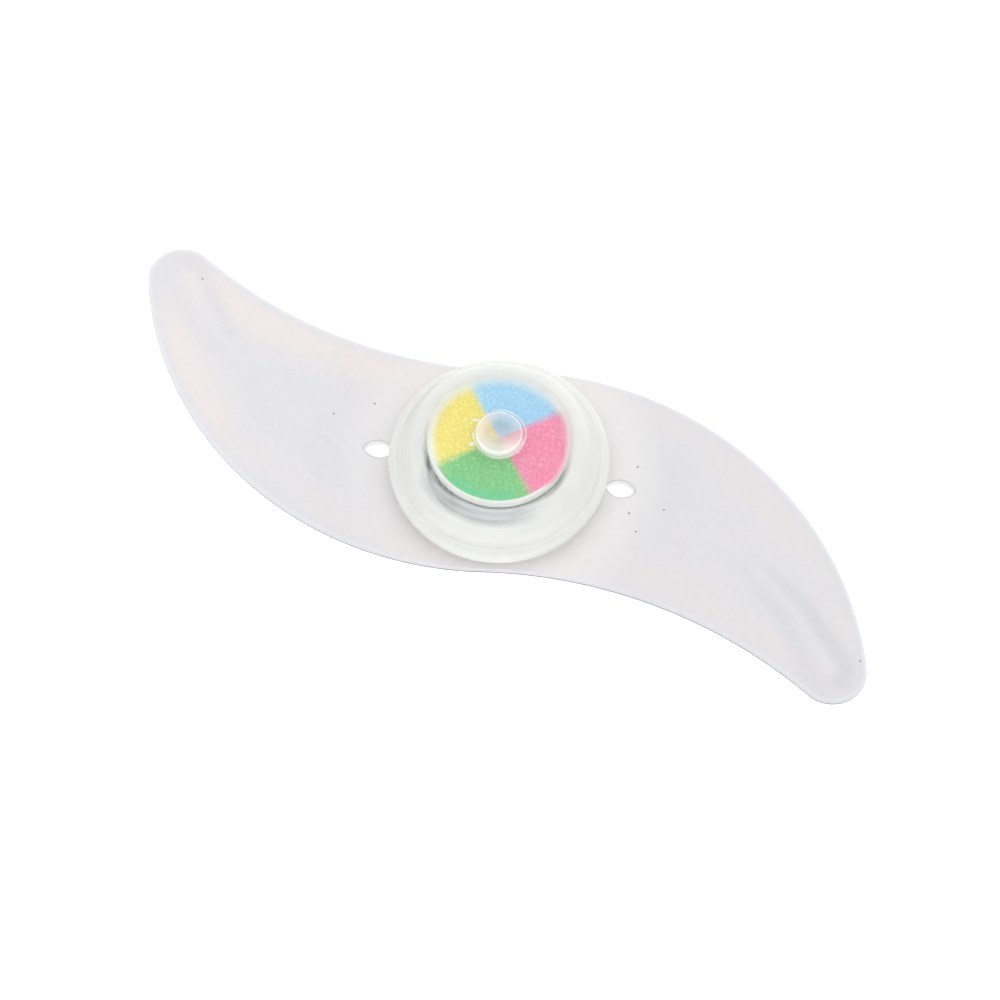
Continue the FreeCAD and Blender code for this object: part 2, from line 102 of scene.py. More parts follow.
# Dome: its outer side, and the cavity for the engine inside
DOME_FOOT_RADIUS = 16.2
DOME_WIDEST_Z = 7.4
BEAD_Z = 8.0
BEAD_RADIUS = 1.0
DOME_SIDE = ((16.4, 9.0), (15.2, 11.9), (13.2, 14.8), (9.2, 16.45))
SPIGOT_RADIUS = 13.3
CAVITY_RADIUS = 11.75
CAVITY_STEP_Z = 6.5
CROWN_UNDERSIDE_Z = 15.55

# The nub, its flange, and the hole and pocket in the dome's crown that hold them
NUB_RADIUS = 3.7
NUB_CROWN = 0.35
NUB_TOP_RADIUS = 3.2
NUB_FOOT_RADIUS = 2.6
FLANGE_RADIUS = 4.4
FLANGE_LOW_Z = 15.65
FLANGE_HIGH_Z = 16.35
NUB_HOLE_RADIUS = 3.8
NUB_HOLE_Z = 16.9
HOLE_CHAMFER_RADIUS = 4.15
POCKET_RADIUS = 4.55
POCKET_Z = 16.4

SNAP_SHEET = 0.07
SNAP_STEPS = 10
LATHE_STEPS = 192
FILLET_STEPS = 4
CURVE_STEPS = 10
ARC_STEPS = 8
BEAD_STEPS = 6

# Looks: how silicone bends light, light's spread under a surface in red, green and blue, and the depth of
# surface texture in metres
SILICONE_IOR = 1.41
EVEN_SPREAD = (1.0, 1.0, 1.0)
FINE_BUMP = 0.00002
FINEST_BUMP = 0.00001


def node_mm(name):
    """Lowest and highest corners of a CAD node, in millimetres."""
    low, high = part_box(name)
    return low / MM, high / MM


# ---------------------------------------------------------------- meshes

def new_object(name, verts, faces):
    """A smooth mesh object from vertices in millimetres, with normals made consistent."""
    mesh = bpy.data.meshes.new(name)
    mesh.from_pydata([Vector(v) * MM for v in verts], [], faces)
    work = bmesh.new()
    work.from_mesh(mesh)
    bmesh.ops.remove_doubles(work, verts=work.verts, dist=1e-7)
    bmesh.ops.recalc_face_normals(work, faces=work.faces)
    for face in work.faces:
        face.smooth = True
    work.to_mesh(mesh)
    work.free()
    obj = bpy.data.objects.new(name, mesh)
    bpy.context.scene.collection.objects.link(obj)
    return obj


def weigh_normals(obj):
    """Keeps flat faces flat beside their rounded edges."""
    modifier = obj.modifiers.new("weighted", "WEIGHTED_NORMAL")
    modifier.keep_sharp = True
    modifier.weight = 80


def keep_numbers(obj, name, values):
    """Stores one number per vertex under a name, for a material to read."""
    obj.data.attributes.new(name, "FLOAT", "POINT").data.foreach_set("value", values)


def rounded(corners):
    """A profile with its corners rounded. Each corner is (radius, height, fillet)."""
    points = []
    count = len(corners)
    for i, (x, z, fillet) in enumerate(corners):
        here = Vector((x, z))
        if not fillet:
            points.append(here)
            continue
        before = Vector(corners[i - 1][:2]) - here
        after = Vector(corners[(i + 1) % count][:2]) - here
        angle = before.angle(after)
        reach = fillet / math.tan(angle / 2)
        start = here + before.normalized() * reach
        end = here + after.normalized() * reach
        middle = (before.normalized() + after.normalized()).normalized()
        centre = here + middle * (fillet / math.sin(angle / 2))
        for step in range(FILLET_STEPS + 1):
            share = step / FILLET_STEPS
            spoke = (start - centre) * (1 - share) + (end - centre) * share
            points.append(centre + spoke.normalized() * fillet)
    return points


def lathe(name, profile):
    """A closed solid of revolution from a closed profile of (radius, height) points, in millimetres."""
    verts = []
    faces = []
    rows = []
    for x, z in profile:
        if x < 1e-6:
            rows.append([len(verts)])
            verts.append((0.0, 0.0, z))
            continue
        row = []
        for step in range(LATHE_STEPS):
            angle = TURN * step / LATHE_STEPS
            row.append(len(verts))
            verts.append((x * math.cos(angle), x * math.sin(angle), z))
        rows.append(row)
    for a, b in zip(rows, rows[1:] + rows[:1]):
        if len(a) == 1 and len(b) == 1:
            continue
        for step in range(LATHE_STEPS):
            after = (step + 1) % LATHE_STEPS
            if len(a) == 1:
                faces.append((a[0], b[after], b[step]))
            elif len(b) == 1:
                faces.append((a[step], a[after], b[0]))
            else:
                faces.append((a[step], a[after], b[after], b[step]))
    return new_object(name, verts, faces)


def smooth_curve(points):
    """Points along a Catmull-Rom curve through the given points, flat where it ends on the axis."""
    points = [Vector(p) for p in points]
    ends = [points[0] * 2 - points[1]] + points + [Vector((-points[-2][0], points[-2][1]))]
    curve = []
    for i in range(1, len(ends) - 2):
        a, b, c, d = ends[i - 1:i + 3]
        for step in range(CURVE_STEPS):
            t = step / CURVE_STEPS
            curve.append(0.5 * (2 * b + (c - a) * t + (2 * a - 5 * b + 4 * c - d) * t ** 2
                                + (3 * b - a - 3 * c + d) * t ** 3))
    curve.append(points[-1])
    return curve


def arm_circles():
    """Centres of the convex, tip and concave circles of the +X arm."""
    outward = Vector((-math.sin(WAIST_SLOPE), math.cos(WAIST_SLOPE)))
    convex = WAIST_POINT - outward * CONVEX_RADIUS
    concave = -WAIST_POINT - outward * CONCAVE_RADIUS
    to_convex = CONVEX_RADIUS - TIP_RADIUS
    to_concave = CONCAVE_RADIUS + TIP_RADIUS
    apart = (concave - convex).length
    along = (to_convex ** 2 - to_concave ** 2 + apart ** 2) / (2 * apart)
    across = math.sqrt(to_convex ** 2 - along ** 2)
    direction = (concave - convex).normalized()
    tip = convex + direction * along + Vector((-direction.y, direction.x)) * across
    return convex, tip, concave, outward


def outline_loop(inset):
    """The blade's outline moved inwards, always with the same number of points."""
    convex, tip, concave, outward = arm_circles()
    start = math.atan2(outward.y, outward.x)
    to_tip = (tip - convex).angle_signed(outward)
    tip_from = start - abs(to_tip)
    concave_dir = tip - concave
    tip_to = math.atan2(-concave_dir.y, -concave_dir.x)
    while tip_to > tip_from:
        tip_to -= TURN
    concave_from = math.atan2(concave_dir.y, concave_dir.x)
    concave_to = start
    arcs = (
        (convex, CONVEX_RADIUS, -inset, start, tip_from),
        (tip, TIP_RADIUS, -inset, tip_from, tip_to),
        (concave, CONCAVE_RADIUS, inset, concave_from, concave_to),
    )
    half = []
    for centre, radius, change, a, b in arcs:
        steps = max(6, round(abs(b - a) * radius / OUTLINE_STEP))
        for step in range(steps):
            angle = a + (b - a) * step / steps
            half.append(centre + Vector((math.cos(angle), math.sin(angle))) * (radius + change))
    return half + [-p for p in half]


def slot_arc():
    """A slot is where two discs overlap: how far their centres lie off its long axis, and their radius."""
    half_length = SLOT_LENGTH / 2
    half_width = SLOT_WIDTH / 2
    radius = (half_length ** 2 + half_width ** 2) / (2 * half_width)
    return radius - half_width, radius


def slot_loop(centre_x, outset):
    """A leaf-shaped slot's outline, moved outwards into the blade."""
    drop, radius = slot_arc()
    grown = radius + outset
    reach = math.acos(drop / grown)
    points = []
    for side in (1, -1):
        for step in range(SLOT_STEPS):
            angle = reach * (1 - 2 * step / SLOT_STEPS)
            points.append(Vector((centre_x + side * grown * math.sin(angle),
                                  side * (grown * math.cos(angle) - drop))))
    return points


def hub_hole_loop():
    angles = [TURN * i / HUB_HOLE_STEPS for i in range(HUB_HOLE_STEPS)]
    return [Vector((math.cos(a), math.sin(a))) * HUB_HOLE_RADIUS for a in angles]


def ridge_place(x, y):
    """Where a point lies on the nearest rib: 0 at its crest to 1 at its foot, 0 to 1 from hub to tip, and
    its side of the crest: 1 on the side of +Y, else -1."""
    turned = x < 0
    if turned:
        x, y = -x, -y
    here = Vector((x, y))
    spans = len(RIDGE_LINE) - 1
    places = []
    for i in range(spans):
        a = Vector(RIDGE_LINE[i])
        b = Vector(RIDGE_LINE[i + 1])
        t = max(0.0, min(1.0, (here - a).dot(b - a) / (b - a).length_squared))
        along = (i + t) / spans
        width = RIDGE_HALF_WIDTH * (0.25 + 0.75 * along)
        left = (b - a).cross(here - a) > 0
        places.append(((here - a.lerp(b, t)).length / width, along, 1 if left != turned else -1))
    return min(places)


def ridge_height(x, y):
    """The low teardrop rib along each arm: narrow near the hub, wide and rounded at the tip."""
    across, along, side = ridge_place(x, y)
    return RIDGE_HEIGHT * max(0.0, 1 - across ** 2) ** 1.5 * along ** 0.7


def outline_distance(x, y):
    """How far inside the blade's outline a point lies."""
    if x < 0:
        x, y = -x, -y
    here = Vector((x, y))
    convex, tip, concave, outward = arm_circles()
    distance = min(CONVEX_RADIUS - (here - convex).length, (here - concave).length - CONCAVE_RADIUS)
    first = (tip - convex).normalized()
    middle = (first + (concave - tip).normalized()).normalized()
    spoke = here - tip
    if spoke.dot(middle) > spoke.length * first.dot(middle):
        distance = TIP_RADIUS - spoke.length
    return distance


def slot_distance(x, y):
    """How far a point lies from the nearer slot."""
    here = Vector((abs(x), y))
    drop, radius = slot_arc()
    return max((here - Vector((SLOT_X, side * drop))).length - radius for side in (1, -1))


def inside(point, loop):
    """Whether a point lies inside a closed loop."""
    hit = False
    for a, b in zip(loop, loop[1:] + loop[:1]):
        if (a.y > point.y) != (b.y > point.y):
            if point.x < a.x + (point.y - a.y) * (b.x - a.x) / (b.y - a.y):
                hit = not hit
    return hit


def blade_cap(outer, holes):
    """Triangles that fill the outer loop around the holes, with a fine grid of points inside."""
    points = []
    edges = []
    for loop in [outer] + holes:
        first = len(points)
        points += loop
        edges += [(first + i, first + (i + 1) % len(loop)) for i in range(len(loop))]
    rows = int(GRID_REACH_X / GRID_STEP)
    for row in range(-rows, rows + 1):
        for column in range(-rows, rows + 1):
            spot = Vector(((column + 0.5 * (row % 2)) * GRID_STEP, row * GRID_STEP * ROW_SPACING))
            if abs(spot.y) > GRID_REACH_Y or spot.length < HUB_HOLE_RADIUS + GRID_STEP:
                continue
            if min((spot - p).length_squared for p in outer[::2]) < (0.9 * GRID_STEP) ** 2:
                continue
            if inside(spot, outer) and not any((spot - p).length < 0.5 * GRID_STEP
                                               for hole in holes for p in hole):
                points.append(spot)
    result = delaunay_2d_cdt(points, edges, [], 1, 1e-5)
    spots, triangles = result[0], result[2]
    kept = []
    for triangle in triangles:
        centre = sum((spots[i] for i in triangle), Vector((0.0, 0.0))) / 3
        if not any(inside(centre, hole) for hole in holes):
            kept.append(triangle)
    return spots, kept


def add_walls(verts, faces, loops):
    """Joins closed loops of 3D points, each of the same length, by bands of faces."""
    starts = []
    for loop in loops:
        starts.append(len(verts))
        verts += loop
    size = len(loops[0])
    for a, b in zip(starts, starts[1:]):
        for i in range(size):
            j = (i + 1) % size
            faces.append((a + i, a + j, b + j, b + i))


def make_blade():
    """The S-shaped plate, with rounded edges, rounded slots and the two low ribs."""
    low, high = node_mm("blade")
    middle = (low.z + high.z) / 2
    half = (high.z - low.z) / 2
    steps = [TURN / 4 * i / BLADE_ROUND_STEPS for i in range(BLADE_ROUND_STEPS + 1)]
    insets = [(BLADE_ROUND * (1 - math.cos(a)), half - BLADE_ROUND * (1 - math.sin(a))) for a in steps]
    stack = [(inset, -z) for inset, z in reversed(insets)] + insets
    holes = [hub_hole_loop()] + [slot_loop(side * SLOT_X, BLADE_ROUND) for side in (1, -1)]
    spots, triangles = blade_cap(outline_loop(BLADE_ROUND), holes)
    verts = []
    faces = []
    for side in (1, -1):
        first = len(verts)
        verts += [(p.x, p.y, middle + side * (half + ridge_height(p.x, p.y))) for p in spots]
        faces += [tuple(first + i for i in t) for t in triangles]
    shapes = [outline_loop] + [lambda inset, s=side: slot_loop(s * SLOT_X, inset) for side in (1, -1)]
    for shape in shapes:
        add_walls(verts, faces, [[(p.x, p.y, middle + z) for p in shape(inset)] for inset, z in stack])
    add_walls(verts, faces, [[(p.x, p.y, middle + z) for p in hub_hole_loop()] for z in (-half, half)])
    blade = new_object("blade_silicone_sheet", verts, faces)
    work = bmesh.new()
    work.from_mesh(blade.data)
    bmesh.ops.remove_doubles(work, verts=work.verts, dist=2e-6)
    bmesh.ops.recalc_face_normals(work, faces=work.faces)
    work.to_mesh(blade.data)
    work.free()
    spots = [v.co / MM for v in blade.data.vertices]
    keep_numbers(blade, "outline", [outline_distance(p.x, p.y) for p in spots])
    keep_numbers(blade, "slot", [slot_distance(p.x, p.y) for p in spots])
    places = [ridge_place(p.x, p.y) for p in spots]
    for name, values in zip(("rib_across", "rib_along", "rib_side"), zip(*places)):
        keep_numbers(blade, name, values)
    return blade


def make_dome():
    """The clear cover: beaded rim, leaning side, soft crown; hollow inside, as the CAD node is."""
    low, high = node_mm("front_dome")
    widest = high.x
    lean = widest - DOME_FOOT_RADIUS
    rise = DOME_WIDEST_Z - low.z
    lower = (lean ** 2 + rise ** 2) / (2 * lean)
    centre = widest - lower
    start = math.asin(rise / lower)
    profile = [(SPIGOT_RADIUS, low.z, 0.1)]
    for step in range(ARC_STEPS + 1):
        angle = -start * (1 - step / ARC_STEPS)
        profile.append((centre + lower * math.cos(angle), DOME_WIDEST_Z + lower * math.sin(angle), 0))
    for step in range(BEAD_STEPS + 1):
        angle = TURN / 4 * step / BEAD_STEPS
        profile.append((widest - BEAD_RADIUS + BEAD_RADIUS * math.cos(angle),
                        BEAD_Z + BEAD_RADIUS * math.sin(angle), 0))
    side = smooth_curve(DOME_SIDE + ((0.0, high.z),))
    profile.append((side[0].x, side[0].y, 0.35))
    profile += [(p.x, p.y, 0) for p in side[1:] if p.x > HOLE_CHAMFER_RADIUS]
    profile += [
        (NUB_HOLE_RADIUS, NUB_HOLE_Z, 0.12),
        (NUB_HOLE_RADIUS, POCKET_Z, 0.06),
        (POCKET_RADIUS, POCKET_Z, 0.1),
        (POCKET_RADIUS, CROWN_UNDERSIDE_Z, 0.1),
        (CAVITY_RADIUS, CROWN_UNDERSIDE_Z, 0.35),
        (CAVITY_RADIUS, CAVITY_STEP_Z, 0.15),
        (SPIGOT_RADIUS, CAVITY_STEP_Z, 0.15),
    ]
    return lathe("dome_cover", rounded(profile))


def make_button():
    """The clear nub: domed top, soft edge, a flange under the dome and a foot on the label."""
    low, high = node_mm("push_button")
    sphere = (NUB_RADIUS ** 2 + NUB_CROWN ** 2) / (2 * NUB_CROWN)
    top = []
    for step in range(ARC_STEPS + 1):
        r = NUB_TOP_RADIUS * (1 - step / ARC_STEPS)
        top.append((r, high.z - sphere + math.sqrt(sphere ** 2 - r ** 2), 0))
    profile = [
        (0.0, low.z, 0),
        (NUB_FOOT_RADIUS, low.z, 0.1),
        (NUB_FOOT_RADIUS, FLANGE_LOW_Z, 0.08),
        (FLANGE_RADIUS, FLANGE_LOW_Z, 0.12),
        (FLANGE_RADIUS, FLANGE_HIGH_Z, 0.12),
        (NUB_RADIUS, FLANGE_HIGH_Z, 0.05),
        (NUB_RADIUS, high.z - NUB_CROWN + 0.02, 0.28),
    ] + top
    return lathe("button_nub", rounded(profile))


def make_snap_disc():
    """The switch's thin sprung disc, domed upwards. It clicks flat when the button is pressed."""
    low, high = node_mm("switch_snap_disc")
    radius = high.x
    rise = high.z - low.z
    sphere = (radius ** 2 + rise ** 2) / (2 * rise)
    top = []
    underside = []
    for step in range(SNAP_STEPS + 1):
        r = radius * step / SNAP_STEPS
        drop = sphere - math.sqrt(sphere ** 2 - r ** 2)
        top.append((r, high.z - drop, 0))
        underside.append((r * (radius - SNAP_SHEET) / radius, max(low.z, high.z - SNAP_SHEET - drop), 0))
    return lathe("snap_disc", rounded(underside + top[::-1]))


# ---------------------------------------------------------------- materials

class Tree:
    """A material's nodes, built with short calls."""

    def __init__(self, name):
        self.material = bpy.data.materials.new(name)
        self.material.use_nodes = True
        self.nodes = self.material.node_tree.nodes
        self.links = self.material.node_tree.links
        self.nodes.clear()
        self.output = self.nodes.new("ShaderNodeOutputMaterial")

    def add(self, kind, **values):
        """A node with the given settings: first its own properties, then its input sockets."""
        node = self.nodes.new("ShaderNode" + kind)
        sockets = {socket.name.lower().replace(" ", "_") for socket in node.inputs}
        for key, value in values.items():
            if key not in sockets:
                setattr(node, key, value)
        for key, value in values.items():
            if key in sockets:
                self.set(node, key, value)
        return node

    def set(self, node, key, value):
        """Sets or links the first enabled input of that name."""
        for socket in node.inputs:
            if socket.enabled and socket.name.lower().replace(" ", "_") == key:
                if isinstance(value, bpy.types.NodeSocket):
                    self.links.new(value, socket)
                else:
                    socket.default_value = value
                return
        raise KeyError(key)

    def place(self):
        """Where a point is in the part's frame, in metres."""
        return self.add("TexCoord").outputs["Object"]

    def separate(self, where):
        """The x, y and z of a point."""
        return self.add("SeparateXYZ", vector=where).outputs

    def noise(self, scale, detail, where):
        return self.add("TexNoise", scale=scale, detail=detail, vector=where).outputs["Fac"]

    def lines(self, round_scale, height_scale, detail, where):
        """Noise drawn out into level lines around the hub's axis."""
        stretched = self.add("Mapping", vector=where, scale=(round_scale, round_scale, height_scale))
        return self.noise(1.0, detail, stretched.outputs[0])

    def ramp(self, factor, stops):
        """A colour ramp over (position, colour) stops."""
        node = self.add("ValToRGB", fac=factor)
        elements = node.color_ramp.elements
        while len(elements) < len(stops):
            elements.new(0.5)
        for element, (position, colour) in zip(elements, stops):
            element.position = position
            element.color = (*colour, 1.0)
        return node.outputs["Color"]

    def math(self, operation, a, b=None, c=None):
        """One Math node's result."""
        node = self.add("Math", operation=operation)
        for socket, value in zip(node.inputs, (a, b, c)):
            if isinstance(value, bpy.types.NodeSocket):
                self.links.new(value, socket)
            elif value is not None:
                socket.default_value = value
        return node.outputs[0]

    def mix(self, factor, a, b, blend="MIX"):
        """Colour a with as much of colour b over it as the factor says."""
        node = self.add("Mix", data_type="RGBA", blend_type=blend)
        sockets = (node.inputs[0], node.inputs[6], node.inputs[7])
        for socket, value in zip(sockets, (factor, a, b)):
            if isinstance(value, bpy.types.NodeSocket):
                self.links.new(value, socket)
            else:
                socket.default_value = (*value, 1.0) if isinstance(value, tuple) else value
        return node.outputs[2]

    def kept(self, name):
        """A number stored per vertex."""
        return self.add("Attribute", attribute_name=name).outputs["Fac"]

    def step(self, value, low, high):
        """0 where value is at low and 1 where it is at high, with soft ends. Low may be above high."""
        return self.add("MapRange", interpolation_type="SMOOTHSTEP", value=value, from_min=low,
                        from_max=high).outputs[0]

    def edge(self, value, low, high):
        """As step, for a value in metres and ends in millimetres."""
        return self.step(value, low * MM, high * MM)

    def product(self, *values):
        total = values[0]
        for value in values[1:]:
            total = self.math("MULTIPLY", total, value)
        return total

    def scaled(self, value, factor, start):
        """The value times a factor, added to a start."""
        return self.math("MULTIPLY_ADD", value, factor, start)

    def highest(self, first, *others):
        """The highest of several values, at every point."""
        for other in others:
            first = self.math("MAXIMUM", first, other)
        return first

    def bump(self, height, distance, strength):
        return self.add("Bump", height=height, distance=distance, strength=strength).outputs["Normal"]

    def finish(self, surface):
        self.links.new(surface.outputs[0], self.output.inputs["Surface"])
        return self.material


def grey(value):
    return (value, value, value)


def reach(t, x, y):
    """How far a point (x, y) lies from the axis."""
    return t.math("SQRT", t.math("ADD", t.product(x, x), t.product(y, y)))


def fleck(t, x, y, middle, size):
    """1 inside a small soft-edged ellipse, given by its middle and half-axes, else 0."""
    across = t.product(t.math("SUBTRACT", x, middle[0] * MM), 1 / (size[0] * MM))
    along = t.product(t.math("SUBTRACT", y, middle[1] * MM), 1 / (size[1] * MM))
    return t.step(reach(t, across, along), 1.1, 0.7)


def blade_tones(t, where, x, y, outline):
    """The blade's broad tones: faintly lavender and warmer inside its edges, with painted light round the
    hub, stronger towards +X, that lifts the shade the hub casts.
    """
    lavender = [(0.35, (0.680, 0.685, 0.708)), (0.65, (0.700, 0.687, 0.710))]
    patches = t.noise(40.0, 3.0, where)
    colour = t.ramp(t.noise(38.0, 2.0, where), lavender)
    left = t.scaled(t.edge(x, 20.0, -20.0), 0.50, 0.40)
    along_edge = t.product(t.step(outline, 0.4, 2.5), t.step(outline, 10.0, 3.0))
    warm = t.product(along_edge, t.step(patches, 0.22, 0.62), left)
    colour = t.mix(warm, colour, (0.760, 0.705, 0.700))
    # Painted light: the blade is made paler round the hub, more towards +X, lifting the shade the hub casts
    # on it.
    right = t.scaled(t.edge(x, 0.0, 10.0), 0.25, 0.75)
    painted_light_near_hub = t.product(t.edge(reach(t, x, y), 29.0, 18.0), right)
    return t.mix(painted_light_near_hub, colour, (0.815, 0.790, 0.795))


def rib_painted_light(t, colour, x):
    """Painted light and shade along each rib: a painted grey band round it, painted shade on its +Y flank
    and a painted highlight on its crest, fainter on the left arm.
    """
    across = t.kept("rib_across")
    along = t.kept("rib_along")
    side = t.kept("rib_side")
    # Strength of the rib's painted light and shade, weaker on the left arm.
    painted_light_strength = t.scaled(t.edge(x, -20.0, 20.0), 0.45, 0.55)
    # Painted shade: a grey band along both sides of each rib.
    hollow = t.product(t.step(across, 0.1, 0.8), t.step(across, 1.8, 0.9), t.step(along, 0.1, 0.8), painted_light_strength)
    colour = t.mix(t.product(hollow, 0.30), colour, (0.600, 0.602, 0.650))
    # Painted shade on each rib's flank on the +Y side.
    painted_shade_flank = t.product(t.step(across, 0.2, 0.7), t.step(across, 1.5, 0.9), t.step(side, -0.2, 0.6),
                      t.step(along, 0.2, 0.9), painted_light_strength)
    colour = t.mix(t.product(painted_shade_flank, 0.28), colour, (0.56, 0.57, 0.60))
    # Painted highlight along each rib's crest.
    crest = t.product(t.step(across, 0.35, 0.0), t.step(along, 0.25, 0.6), painted_light_strength, 0.25)
    return t.mix(crest, colour, (0.74, 0.74, 0.76))


def painted_edge_light(t, colour, z, outline):
    """Painted light and shade at the edges: a painted highlight on the bevel, a painted dark line of shade
    along its outer side, painted shade on the side wall below, a painted dark line round each slot and
    painted light on the slot walls.
    """
    slot = t.kept("slot")
    # Painted highlight on the bevel.
    painted_bevel_highlight = t.product(t.step(outline, 0.15, 0.35), t.step(outline, 1.0, 0.45), 0.5)
    colour = t.mix(painted_bevel_highlight, colour, (0.74, 0.74, 0.78))
    # Painted shade: a thin dark line along the top edge, standing in for the edge's shade.
    painted_edge_shade_line = t.product(t.step(outline, 0.20, 0.12), t.edge(z, 3.95, 4.05))
    colour = t.mix(painted_edge_shade_line, colour, (0.62, 0.62, 0.65))
    # Painted shade on the side wall.
    wall = t.product(t.step(outline, 0.12, 0.06), t.edge(z, 3.92, 3.84))
    colour = t.mix(wall, colour, (0.22, 0.22, 0.25))
    # Painted shade: a thin dark line round each slot.
    painted_slot_shade_line = t.product(t.step(slot, 0.20, 0.30), t.step(slot, 0.50, 0.40))
    colour = t.mix(painted_slot_shade_line, colour, (0.62, 0.62, 0.65))
    # Painted light on the slot walls.
    return t.mix(t.step(slot, 0.18, 0.08), colour, (0.93, 0.91, 0.91))


def dust(t, colour, x, y):
    """Dark specks at the places in SPECKS."""
    flat = t.add("CombineXYZ", x=x, y=y)
    for spot in SPECKS:
        away = t.add("VectorMath", operation="DISTANCE")
        t.links.new(flat.outputs[0], away.inputs[0])
        away.inputs[1].default_value = (spot[0] * MM, spot[1] * MM, 0.0)
        speck = t.edge(away.outputs["Value"], SPECK_RADIUS * 1.3, SPECK_RADIUS * 0.7)
        colour = t.mix(speck, colour, (0.10, 0.10, 0.11))
    return colour


def blade_material():
    """Milky silicone with soft tones, painted light and shade along its ribs and edges, and dust, mottled
    all over and greyer towards +X as painted shade.
    """
    t = Tree("milky_silicone")
    where = t.place()
    x, y, z = t.separate(where)
    outline = t.kept("outline")
    colour = blade_tones(t, where, x, y, outline)
    colour = rib_painted_light(t, colour, x)
    colour = painted_edge_light(t, colour, z, outline)
    colour = dust(t, colour, x, y)
    mottle = t.ramp(t.noise(1100.0, 3.0, where), [(0.3, grey(0.925)), (0.7, grey(0.955))])
    colour = t.mix(1.0, colour, mottle, "MULTIPLY")
    # Painted shade: the blade greys towards +X, as if less light falls there.
    painted_shade_towards_plus_x = t.ramp(t.scaled(x, 8.0, 0.5), [(0.0, grey(1.0)), (1.0, (0.940, 0.945, 0.940))])
    colour = t.mix(1.0, colour, painted_shade_towards_plus_x, "MULTIPLY")
    shader = t.add("BsdfPrincipled", base_color=colour, roughness=0.45, ior=SILICONE_IOR,
                   subsurface_weight=0.5, subsurface_radius=(1.0, 0.95, 0.95), subsurface_scale=0.0006,
                   normal=t.bump(t.noise(2500.0, 3.0, where), FINE_BUMP, 0.3))
    return t.finish(shader)


def milky_finish(t, milk, tone, roughness, bump, through):
    """Ends a material as clear silicone with milk in it, which scatters light back and, in part, through."""
    skin = t.add("BsdfPrincipled", base_color=tone, roughness=roughness, ior=SILICONE_IOR,
                 subsurface_weight=1.0, subsurface_radius=EVEN_SPREAD, subsurface_scale=0.002, normal=bump)
    onwards = t.add("BsdfTranslucent", color=tone)
    cloud = t.add("MixShader", fac=through)
    t.links.new(skin.outputs[0], cloud.inputs[1])
    t.links.new(onwards.outputs[0], cloud.inputs[2])
    whole = t.add("MixShader", fac=milk)
    t.links.new(t.add("BsdfTransparent").outputs[0], whole.inputs[1])
    t.links.new(cloud.outputs[0], whole.inputs[2])
    return t.finish(whole)


def crown_clearness(t, y, out):
    """1 in the dome's clear crown, which reaches less far out on the +Y side."""
    milky_side = t.edge(y, -8.0, 3.5)
    outer = t.scaled(milky_side, -1.0 * MM, 13.1 * MM)
    inner = t.scaled(milky_side, -3.0 * MM, 12.3 * MM)
    return t.step(out, outer, inner)


def wall_clearness(t, where, x, y, out):
    """How clear the dome's wall is on the -Y side, in streaks, and less so further out."""
    streaky = t.scaled(t.step(t.lines(90.0, 2600.0, 3.0, where), 0.40, 0.62), -0.24, 0.70)
    foggy = t.scaled(t.edge(out, 12.4, 14.4), -0.25, 1.0)
    window = t.product(t.edge(y, -3.5, -7.5), t.edge(x, -12.0, -9.5), t.edge(x, 10.0, 4.0))
    return t.product(t.edge(out, 14.8, 14.1), streaky, foggy, window)


def crown_painted_glints(t, x, y, height, out):
    """Painted glints by the nub: a painted highlight on the hole's lip on the -Y side, a thin painted
    highlight ring on the right and two painted glints.
    """
    # Painted highlight: a thin ring on the right of the hole.
    ring = t.product(t.edge(out, 4.10, 4.20), t.edge(out, 4.45, 4.35), t.edge(x, -3.5, 0.0))
    painted_glint_flecks = t.highest(fleck(t, x, y, (-4.0, 1.8), (1.0, 0.3)), fleck(t, x, y, (-4.0, -2.5), (0.6, 0.4)))
    on_top = t.product(t.highest(ring, painted_glint_flecks), t.edge(height, 16.0, 16.3))
    # Painted highlight on the hole's lip on the -Y side.
    painted_lip_glint = t.product(t.edge(out, 4.4, 4.1), t.edge(y, 1.0, -1.0))
    return t.highest(on_top, painted_lip_glint)


def dome_material():
    """Clear silicone with milk in it: little in the crown and one side of the wall, much in the skirt; with
    a painted highlight on the bead and painted glints round the nub's hole.
    """
    t = Tree("clear_milky_silicone")
    where = t.place()
    x, y, height = t.separate(where)
    out = reach(t, x, y)
    in_wall = wall_clearness(t, where, x, y, out)
    clear = t.highest(crown_clearness(t, y, out), in_wall)
    haze = t.noise(240.0, 3.0, where)
    milk = t.math("ADD", t.scaled(clear, -0.84, 0.88), t.product(haze, 0.10))
    skirt = [(0.35, (0.870, 0.880, 0.855)), (0.65, (0.895, 0.90, 0.875))]
    tone = t.ramp(t.lines(70.0, 1500.0, 4.0, where), skirt)
    tone = t.mix(t.product(in_wall, 1.2), tone, (0.85, 0.89, 0.93))
    # Painted highlight: the bead and the groove inside it are made paler, standing in for light on the
    # rounded rim.
    painted_bead_highlight = t.product(t.edge(out, 15.2, 16.0), t.edge(out, 17.0, 16.6))
    tone = t.mix(t.product(painted_bead_highlight, 0.8), tone, (0.98, 0.985, 0.96))
    tone = t.mix(t.edge(out, 16.9, 17.3), tone, (0.86, 0.87, 0.835))
    # Painted glints by the nub, made milky and white.
    white = crown_painted_glints(t, x, y, height, out)
    milk = t.highest(milk, t.product(white, 0.85))
    tone = t.mix(white, tone, grey(0.97))
    return milky_finish(t, milk, tone, 0.25, t.bump(t.noise(500.0, 2.0, where), FINE_BUMP, 0.2), 0.42)


